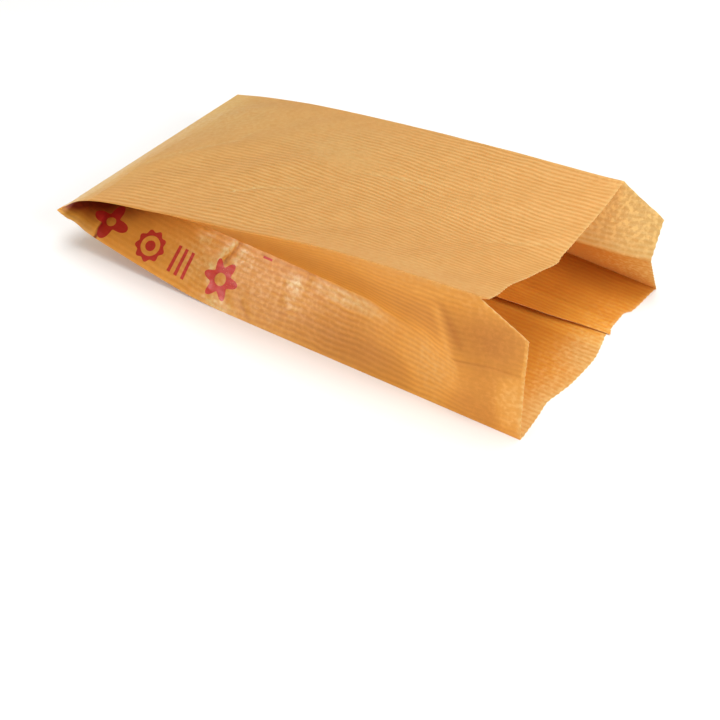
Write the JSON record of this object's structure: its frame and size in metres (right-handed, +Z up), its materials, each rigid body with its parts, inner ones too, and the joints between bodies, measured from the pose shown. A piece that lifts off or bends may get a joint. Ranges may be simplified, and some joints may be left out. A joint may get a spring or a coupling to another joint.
{
  "type": "gusseted paper bakery bag",
  "caption": "Empty gusseted bakery bag of ribbed kraft paper lying on its back, mouth open, front cut shorter, end pressed flat.",
  "frame": {"origin": "centre of the bounding box at the surface the bag lies on", "axes": "+X from the closed end to the open mouth, +Y from the near side to the far side, +Z up, from the back panel to the front panel"},
  "size_m": [0.2306, 0.1234, 0.06],
  "materials": {
    "ribbed_kraft": "machine-glazed ribbed kraft, satin"
  },
  "bodies": {
    "root": {"paper_bag": "ribbed_kraft"}
  },
  "joints": []
}
